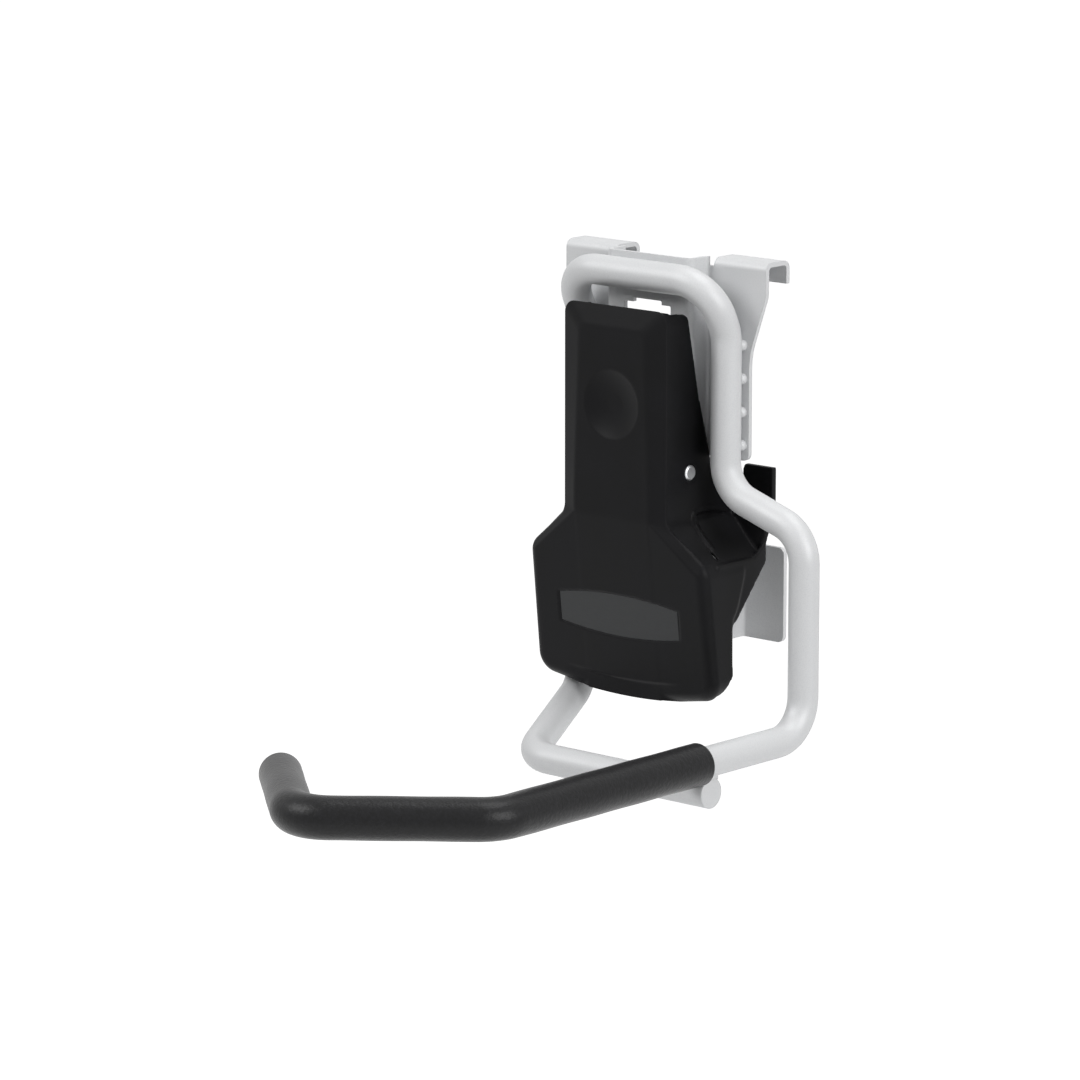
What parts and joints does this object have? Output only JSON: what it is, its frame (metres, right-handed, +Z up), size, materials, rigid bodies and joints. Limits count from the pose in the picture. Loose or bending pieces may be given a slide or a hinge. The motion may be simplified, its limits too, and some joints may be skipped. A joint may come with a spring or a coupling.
{
  "type": "bicycle storage hook",
  "caption": "Steel bicycle hook that hangs on a horizontal wall rail, with a bent rod loop and long arm in a soft sleeve, and a black locking lever that grips the rail from below.",
  "frame": {"origin": "on the symmetry plane of the bracket, at the corner where the underside of the rail hooks meets the face that bears on the rail", "axes": "+Z up, +Y from the front of the rail to the wall, +X to the side that carries the arm"},
  "size_m": [0.1434, 0.2717, 0.2104],
  "materials": {
    "bracket_steel": "satin silver powder coat",
    "rod_steel": "satin silver powder coat",
    "sleeve_foam": "matt, fine skin",
    "weld_metal": "satin silver powder coat over a weld bead",
    "cover_plastic": "fine spark-eroded texture",
    "badge_film": "satin",
    "lever_plastic": "fine spark-eroded texture",
    "pin_steel": "drawn, zinc plated",
    "spring_steel": "drawn wire"
  },
  "bodies": {
    "frame": {"rail_bracket": "bracket_steel", "hook_rod": "rod_steel", "grip_sleeve": "sleeve_foam", "brace_weld": "weld_metal", "weld_tacks": "weld_metal", "torsion_spring": "spring_steel"},
    "lever": {"locking_lever": "lever_plastic", "face_cover": "cover_plastic", "badge_plate": "badge_film", "pivot_pin": "pin_steel"}
  },
  "joints": [
    {"name": "lever_pivot", "type": "hinge", "parent": "frame", "child": "lever", "pos_m": [0, -0.0166, -0.0857], "axis": [-1, 0, 0], "range_deg": [0, 12], "stiffness_Nm_per_rad": 0.5, "springref_deg": -28.65, "deforming": ["torsion_spring"]}
  ]
}
